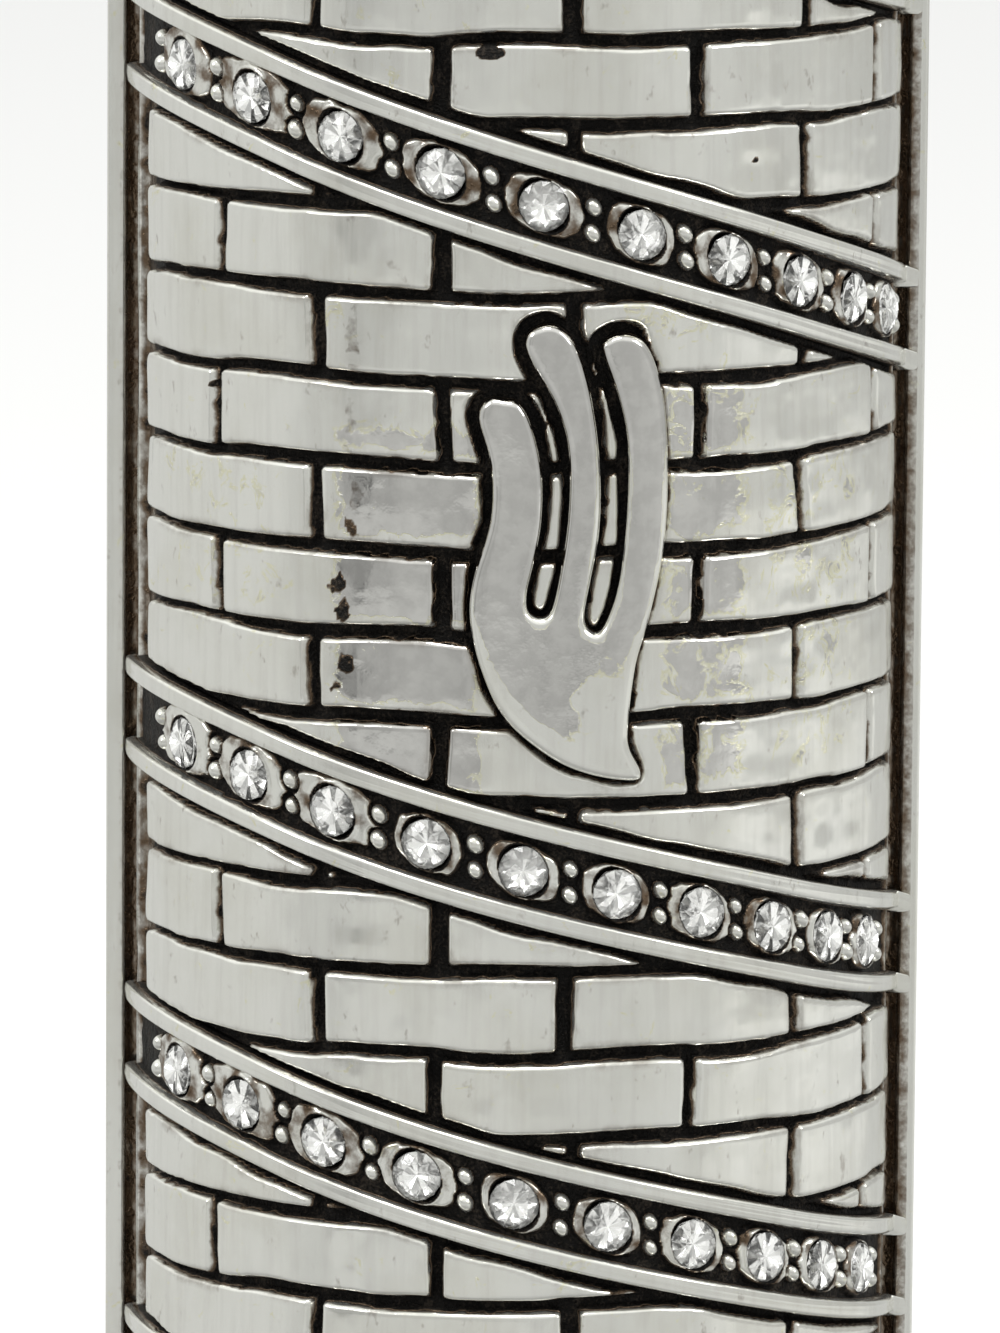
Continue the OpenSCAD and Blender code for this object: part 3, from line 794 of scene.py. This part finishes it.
def gem_band(k, material):
    """One gem band as a closed solid. Past RAIL_BEND its rails run straight on over the flange."""
    angles = np.linspace(BAND_FROM, BAND_TO, BAND_COLUMNS)
    shares = np.linspace(-1, 1, BAND_ROWS)
    a, share = np.meshgrid(angles, shares)
    v = share * BAND_W / 2 * band_breadth(a)
    r, dark = band_relief(k, a, v)
    z = band_height(k, a) + v
    round_a = np.minimum(a, RAIL_BEND)
    top = on_round(r, round_a, z)
    top[..., 0] += (a - round_a) * (0.015 + 0.1 * ramp(BAND_FLOOR_R + 0.15, RAIL_R - 0.2, r))
    edge = np.array([0, -1])
    under = on_round(np.full((2, BAND_COLUMNS), UNDER_R), round_a[edge], z[edge])
    over = a[edge] > RAIL_BEND
    under[over, 0] = top[edge][over, 0]
    under[over, 1] = AXIS_Y - FLANGE_FRONT + 0.05
    points = np.concatenate([top.reshape(-1, 3), under.reshape(-1, 3)])
    first = BAND_ROWS * BAND_COLUMNS
    grid = np.arange(first).reshape(BAND_ROWS, BAND_COLUMNS)
    low, high = first + np.arange(BAND_COLUMNS), first + BAND_COLUMNS + np.arange(BAND_COLUMNS)

    def between(p, q):
        return np.stack([p[1:], q[1:], q[:-1], p[:-1]], axis=-1)

    faces = np.concatenate([grid_faces(BAND_ROWS, BAND_COLUMNS), between(low, grid[0]),
                            between(grid[-1], high), between(high, low)])
    ends = [list(grid[:, 0]) + [high[0], low[0]], list(grid[::-1, -1]) + [low[-1], high[-1]]]
    edge_dark = 0.5 * ramp(-BAND_FROM - 2.5, -BAND_FROM, np.abs(a)) * (r < RAIL_R - 0.2)
    dark = np.where(dark > 0.5, dark * (1 - edge_dark), dark)
    values = np.concatenate([dark.ravel(), np.ones(2 * BAND_COLUMNS)])
    piece = build(f"gem_band_{k}_relief", points, faces, CASE, material,
                  flat=ends, values={"patina": values})
    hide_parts(f"gem_band_{k}")


# ---- Stones ----

GEM_FOOT_R = 13.6          # radius that the stones' points are measured from


def brilliant(radius):
    """Points, crown faces and pavilion faces of one brilliant-cut stone that stands on its point."""
    eighth = math.pi / 4
    table_r, mid_r = 0.55 * radius, 0.78 * radius
    table_z, girdle_top, girdle_low, foot = 0.84, 0.58, 0.50, 0.28
    cos_half = math.cos(eighth / 2)
    mid_z = table_z + (mid_r * cos_half - table_r) * (girdle_top - table_z) / (radius - table_r)

    def ring(r, z, count, turn=0.0):
        angles = [2 * math.pi * j / count + turn for j in range(count)]
        return [(r * math.cos(t), r * math.sin(t), z) for t in angles]

    points = (ring(table_r, table_z, 8) + ring(mid_r, mid_z, 8, eighth / 2) + ring(radius, girdle_top, 16)
              + ring(radius, girdle_low, 16) + [(0, 0, foot)])
    table, mid, top, low, point = 0, 8, 16, 32, 48
    for j in range(low + 1, point, 2):
        x, y, z = points[j]
        points[j] = (x, y, z - 0.1)
    crown = [[table + j for j in range(8)]]
    pavilion = []
    for j in range(8):
        after, before = (j + 1) % 8, (j - 1) % 8
        g0, g1, g2 = 2 * j, 2 * j + 1, (2 * j + 2) % 16
        crown.append([table + j, mid + j, table + after])
        crown.append([table + j, mid + before, top + g0, mid + j])
        crown.append([mid + j, top + g0, top + g1])
        crown.append([mid + j, top + g1, top + g2])
        pavilion.append([point, low + g1, low + g0])
        pavilion.append([point, low + g2, low + g1])
    for g in range(16):
        crown.append([top + g, low + g, low + (g + 1) % 16, top + (g + 1) % 16])
    return points, crown, pavilion


def stones(k):
    """The ten stones of band k, each turned and tipped a little, with foil on their undersides."""
    rng = np.random.default_rng(700 + k)
    shape, crown, pavilion = brilliant(GEM_D / 2)
    middle = Matrix.Translation((0, 0, 0.45))
    points, faces, foil_faces = [], [], []
    for i in range(GEMS):
        a = gem_angle(k, i)
        tilt = rng.uniform(-3.5, 3.5, 2)
        spin = rng.uniform(0, 360)
        outward = Vector((math.sin(math.radians(a)), -math.cos(math.radians(a)), 0))
        stand = outward.to_track_quat("Z", "Y").to_matrix().to_4x4()
        tip_x, tip_y = (math.radians(t) for t in tilt)
        sway = Matrix.Rotation(tip_x, 4, "X") @ Matrix.Rotation(tip_y, 4, "Y")
        turn = middle @ sway @ Matrix.Rotation(math.radians(spin), 4, "Z") @ middle.inverted()
        foot = Vector(on_round(GEM_FOOT_R, a, float(band_height(k, np.float64(a)))))
        place = Matrix.Translation(foot) @ stand @ turn
        base = len(points)
        points += [place @ Vector(p) for p in shape]
        faces += [[base + j for j in f] for f in crown]
        foil_faces += [[base + j for j in f] for f in pavilion]
    piece = build(f"stones_{k}", np.array(points), [], CASE, GLASS, flat=faces + foil_faces)
    piece.data.materials.append(FOIL)
    slots = np.array([0] * len(faces) + [1] * len(foil_faces), dtype=np.int32)
    piece.data.polygons.foreach_set("material_index", slots)
    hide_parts(f"crystals_{k}")


# ---- Emblem ----

def emblem_wear_and_highlight(x, z, depth):
    """How worn the letter's lacquer is: all over, but for a hem along its lower edges and one patch. The
    lacquered hem shows lighter, and along the lower left it is in part a painted highlight of the bright
    bevel.
    """
    # Painted highlight in part: the hem that keeps its lacquer, and so shows lighter, is widest along the
    # lower left, where the bevel catches the light
    left_hem = 0.95 * ramp(-1.0, -8, z)
    right_hem = (0.12 + 0.3 * ramp(-2, -6, z)) * ramp(4, 2, z)
    hem = np.where(x < 2.6 + 2 * ramp(-6, -8.5, z), left_hem, right_hem)
    patch = ramp(1.35, 0.75, np.hypot((x - 3.0) / 1.0, (z + 6.1) / 1.9) + 0.3 * noise(x, z, 0.8, 82))
    wear = 1.3 * ramp(hem, hem + 0.12, depth + 0.05 * noise(x, z, 0.5, 83) * (hem > 0)) * (1 - patch)
    return np.where(hem > 0.02, wear, 1.3 * (1 - patch))


def emblem(material):
    """The raised letter: an outline with a rounded edge and a smooth face that follows the case."""
    fine = smooth_loop(EMBLEM_OUTLINE, 8) + EMBLEM_NUDGE
    ahead, behind = np.roll(fine, -1, 0), np.roll(fine, 1, 0)
    run = ahead - behind
    normal = np.stack([-run[:, 1], run[:, 0]], axis=-1) / np.linalg.norm(run, axis=1)[:, None]
    bevel = 0.26
    insets = (0.0, 0.03, 0.07, 0.12, 0.18, bevel)
    rings = [fine + normal * d for d in insets]
    low, high = fine.min(0), fine.max(0)
    gx, gz = np.meshgrid(np.arange(low[0], high[0], 0.16), np.arange(low[1], high[1], 0.16))
    # Points all over the face, so that it can follow the round of the case
    deep = outline_distance(gx, gz)
    inner = np.stack([gx[deep < -0.36], gz[deep < -0.36]], axis=-1)
    count = len(fine)
    points2 = np.concatenate(rings + [inner])
    edges = [(j, (j + 1) % count) for j in range(count)]
    out = delaunay_2d_cdt([Vector(p) for p in points2], edges, [], 1, 1e-5)
    flat_points = np.array([tuple(p) for p in out[0]])
    triangles = [list(f) for f in out[2]]
    x, z = flat_points[:, 0], flat_points[:, 1]
    depth = np.clip(-outline_distance(x, z), 0, None)
    r = EMBLEM_R - 0.24 + 0.24 * np.sqrt(np.clip(1 - (1 - np.clip(depth / bevel, 0, 1)) ** 2, 0, 1))
    r = r - 0.02 + 0.012 * noise(x, z, 2.2, 81)

    def place(radius, x, z):
        return np.stack([x, AXIS_Y - np.sqrt(radius ** 2 - x ** 2), z], axis=-1)

    top = place(r, x, z)
    original = {}
    for j, sources in enumerate(out[3]):
        for source in sources:
            original[source] = j
    loop = [original[j] for j in range(count)]
    foot = place(np.full(count, UNDER_R), fine[:, 0], fine[:, 1])
    points = np.concatenate([top, foot])
    base = len(top)

    # Side walls down to the ground, the underside, and the face turned outwards
    walls = [[loop[j], base + j, base + (j + 1) % count, loop[(j + 1) % count]] for j in range(count)]
    under = [[base + j for j in reversed(range(count))]]
    sense = np.cross(flat_points[triangles[0][1]] - flat_points[triangles[0][0]],
                     flat_points[triangles[0][2]] - flat_points[triangles[0][0]])
    if sense < 0:
        triangles = [f[::-1] for f in triangles]
    # The wear values here also carry the painted highlight along the letter's lower edges
    values = {"patina": np.concatenate([0 * depth, np.ones(count)]),
              "wear": np.concatenate([emblem_wear_and_highlight(x, z, depth), np.zeros(count)])}
    piece = build("shin_letter", points, triangles, CASE, material,
                  flat=walls + under, values=values)
    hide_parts("shin_emblem")


# ---- Parchment ----

def scroll(material):
    """One long sheet rolled up from the inside out."""
    low, high = node_box("parchment_scroll")
    x, y = (low[:2] + high[:2]) / 2
    outside = (high[0] - low[0]) / 2
    thick, lift, inside = 0.2, 0.3, 1.6
    turns = (outside - inside - thick) / lift
    steps = int(turns * 60)
    t = np.linspace(0, turns * 2 * np.pi, steps + 1)
    r = inside + lift * t / (2 * np.pi)
    heights = (low[2], high[2])
    rings = [np.stack([x + (r + w) * np.cos(t), y + (r + w) * np.sin(t), np.full(len(t), h)], axis=-1)
             for h in heights for w in (0, thick)]
    points = np.concatenate(rings)
    n = len(t)
    j = np.arange(n - 1)

    def between(p, q):
        return np.stack([p * n + j, p * n + j + 1, q * n + j + 1, q * n + j], axis=-1)

    faces = np.concatenate([between(1, 3), between(2, 0)])
    flat = [list(f) for f in np.concatenate([between(0, 1), between(3, 2)])]
    flat += [[0, n, 3 * n, 2 * n], [n - 1, 3 * n - 1, 4 * n - 1, 2 * n - 1]]
    piece = build("rolled_parchment", points, faces, "scroll", material, flat=flat)
    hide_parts("parchment_scroll")


# ---- Make the case ----

for number in range(PANELS):
    facing_panel(number, RELIEF)
for k in range(1, BANDS + 1):
    gem_band(k, RELIEF)
    stones(k)
emblem(RELIEF)
scroll(parchment())

COVE_LOW, COVE_HIGH = BODY_TOP + 1.5, BODY_TOP + 5.1
CAP_SILVER = cap_silver(COVE_LOW * MM, COVE_HIGH * MM)
NODE_LOOKS = {
    "top_cap": CAP_SILVER,
    "bottom_cap": CAP_SILVER,
    "core_shell": moulded_plastic(),
    "back_rail": brushed_metal("satin_aluminium", (0.74, 0.745, 0.75, 1), 0.3, (6, 6, 0.3)),
    "scroll_sleeve": clear_film(),
}
STEEL = brushed_metal("screw_steel", (0.5, 0.49, 0.475, 1), 0.28, (1, 1, 1))
for name in ("foot_screws", "lock_screw_left", "lock_screw_right"):
    NODE_LOOKS[name] = STEEL
for name, look in NODE_LOOKS.items():
    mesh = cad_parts[name].data
    mesh.materials.clear()
    mesh.materials.append(look)


# ---- Stage, lights and camera ----

def stage_floor():
    """A wide pale floor under the case, left out of mirror reflections."""
    size = 3000
    z = cad_box[0][2] / MM
    corners = [(-size, -size, z), (size, -size, z), (size, size, z), (-size, size, z)]
    mesh = bpy.data.meshes.new("floor")
    mesh.from_pydata([tuple(c * MM for c in p) for p in corners], [], [(0, 1, 2, 3)])
    n = Nodes("pale_floor")
    n.set(Base_Color=(0.86, 0.86, 0.86, 1), Roughness=0.8)
    mesh.materials.append(n.material)
    floor = bpy.data.objects.new("floor", mesh)
    bpy.context.scene.collection.objects.link(floor)
    floor.visible_glossy = False


def area_light(name, azimuth, elevation, distance, width, height, power):
    """A soft light aimed at the case. Azimuth 0 is on the viewer's side and 90 is on the right."""
    a, e = math.radians(azimuth), math.radians(elevation)
    spot = Vector((math.sin(a) * math.cos(e), -math.cos(a) * math.cos(e), math.sin(e))) * distance
    data = bpy.data.lights.new(name, "AREA")
    data.shape = "RECTANGLE"
    data.size, data.size_y = width, height
    data.energy = power
    lamp = bpy.data.objects.new(name, data)
    lamp.location = spot
    lamp.rotation_mode = "QUATERNION"
    lamp.rotation_quaternion = (-spot).to_track_quat("-Z", "Y")
    lamp.visible_camera = False
    bpy.context.scene.collection.objects.link(lamp)


# Soft panels of the light tent round the case: middle azimuth, half width and softness, middle elevation,
# half height and softness, all in degrees, then how much lighter or darker the tent is there
TENT = 0.61
TENT_PANELS = (
    (-32, 22, 3, 20, 29.8, 0.7, -0.10),
    (-45, 7, 7, 20, 29.8, 0.7, -0.09),
    (-47, 2.4, 0.8, -9.0, 0.9, 0.4, -0.34),
    (-47, 3, 1, 0, 7.9, 0.4, -0.10),
    (-60, 9, 4, 20, 45, 5, -0.09),
    (14, 28, 14, 20, 29.8, 0.8, -0.09),
    (16, 13, 8, -9.35, 0.4, 0.25, -0.11),
    (24, 20, 8, -20, 10, 1, -0.05),
    (60, 3, 2, 0, 60, 8, -0.05),
    (84, 2, 2, 0, 60, 8, -0.07),
    (0, 200, 1, 50, 24, 14, 0.42),
    (0, 200, 1, -62, 30, 22, -0.3),
    (100, 34, 4, -9.3, 1.3, 0.4, 0.24),
    (100, 36, 8, -14, 3.5, 1.0, 0.12),
    (108, 44, 12, 20, 27.7, 0.5, -0.10),
    (150, 40, 20, 0, 60, 10, -0.05),
)


def tent_light():
    """The world is a white light tent, lighter above and on the right and dark towards the ground."""
    world = bpy.data.worlds.new("light_tent")
    world.use_nodes = True
    n = Nodes(tree=world.node_tree)
    split = n.node("ShaderNodeSeparateXYZ")
    n.put(n.node("ShaderNodeTexCoord").outputs["Generated"], split.inputs[0])
    x, y, z = split.outputs
    azimuth = n.math("DEGREES", n.math("ARCTAN2", x, n.math("MULTIPLY", y, -1.0)))
    elevation = n.math("DEGREES", n.math("ARCSINE", z))
    total = TENT
    for middle, half, soft, tall, up, blur, amount in TENT_PANELS:
        turn = n.math("ABSOLUTE", n.math("WRAP", n.math("SUBTRACT", azimuth, float(middle)), 180.0, -180.0))
        rise = n.math("ABSOLUTE", n.math("SUBTRACT", elevation, float(tall)))
        across = n.span(turn, half - soft, half + soft, 1.0, 0.0)
        level = n.span(rise, up - blur, up + blur, 1.0, 0.0)
        panel = n.math("MULTIPLY", n.math("MULTIPLY", across, level), amount)
        total = n.math("ADD", total, panel)
    tree = world.node_tree
    tree.links.new(total, tree.nodes["Background"].inputs["Strength"])
    tree.nodes["Background"].inputs["Color"].default_value = (0.995, 1.0, 0.98, 1)
    bpy.context.scene.world = world


def camera():
    """Long lens, from in front and a little above, close on the middle of the case."""
    data = bpy.data.cameras.new("camera")
    data.sensor_width = 36
    data.lens = 295
    data.clip_start, data.clip_end = 0.01, 20
    cam = bpy.data.objects.new("camera", data)
    cam.location = Vector((-0.5, -400.7, 56.7)) * MM
    aim = Vector((-0.5, 0, -7.09)) * MM - cam.location
    roll = Matrix.Rotation(math.radians(0.42), 3, "Z")
    cam.rotation_euler = (aim.to_track_quat("-Z", "Y").to_matrix() @ roll).to_euler()
    bpy.context.scene.collection.objects.link(cam)
    bpy.context.scene.camera = cam


stage_floor()
tent_light()
area_light("right_softbox", azimuth=70, elevation=32, distance=1.3, width=0.35, height=0.5, power=4)
area_light("left_softbox", azimuth=-60, elevation=38, distance=1.3, width=0.3, height=0.4, power=3)
area_light("top_softbox", azimuth=0, elevation=78, distance=1.3, width=0.5, height=0.5, power=6)
camera()
bpy.context.scene.view_settings.view_transform = "Standard"
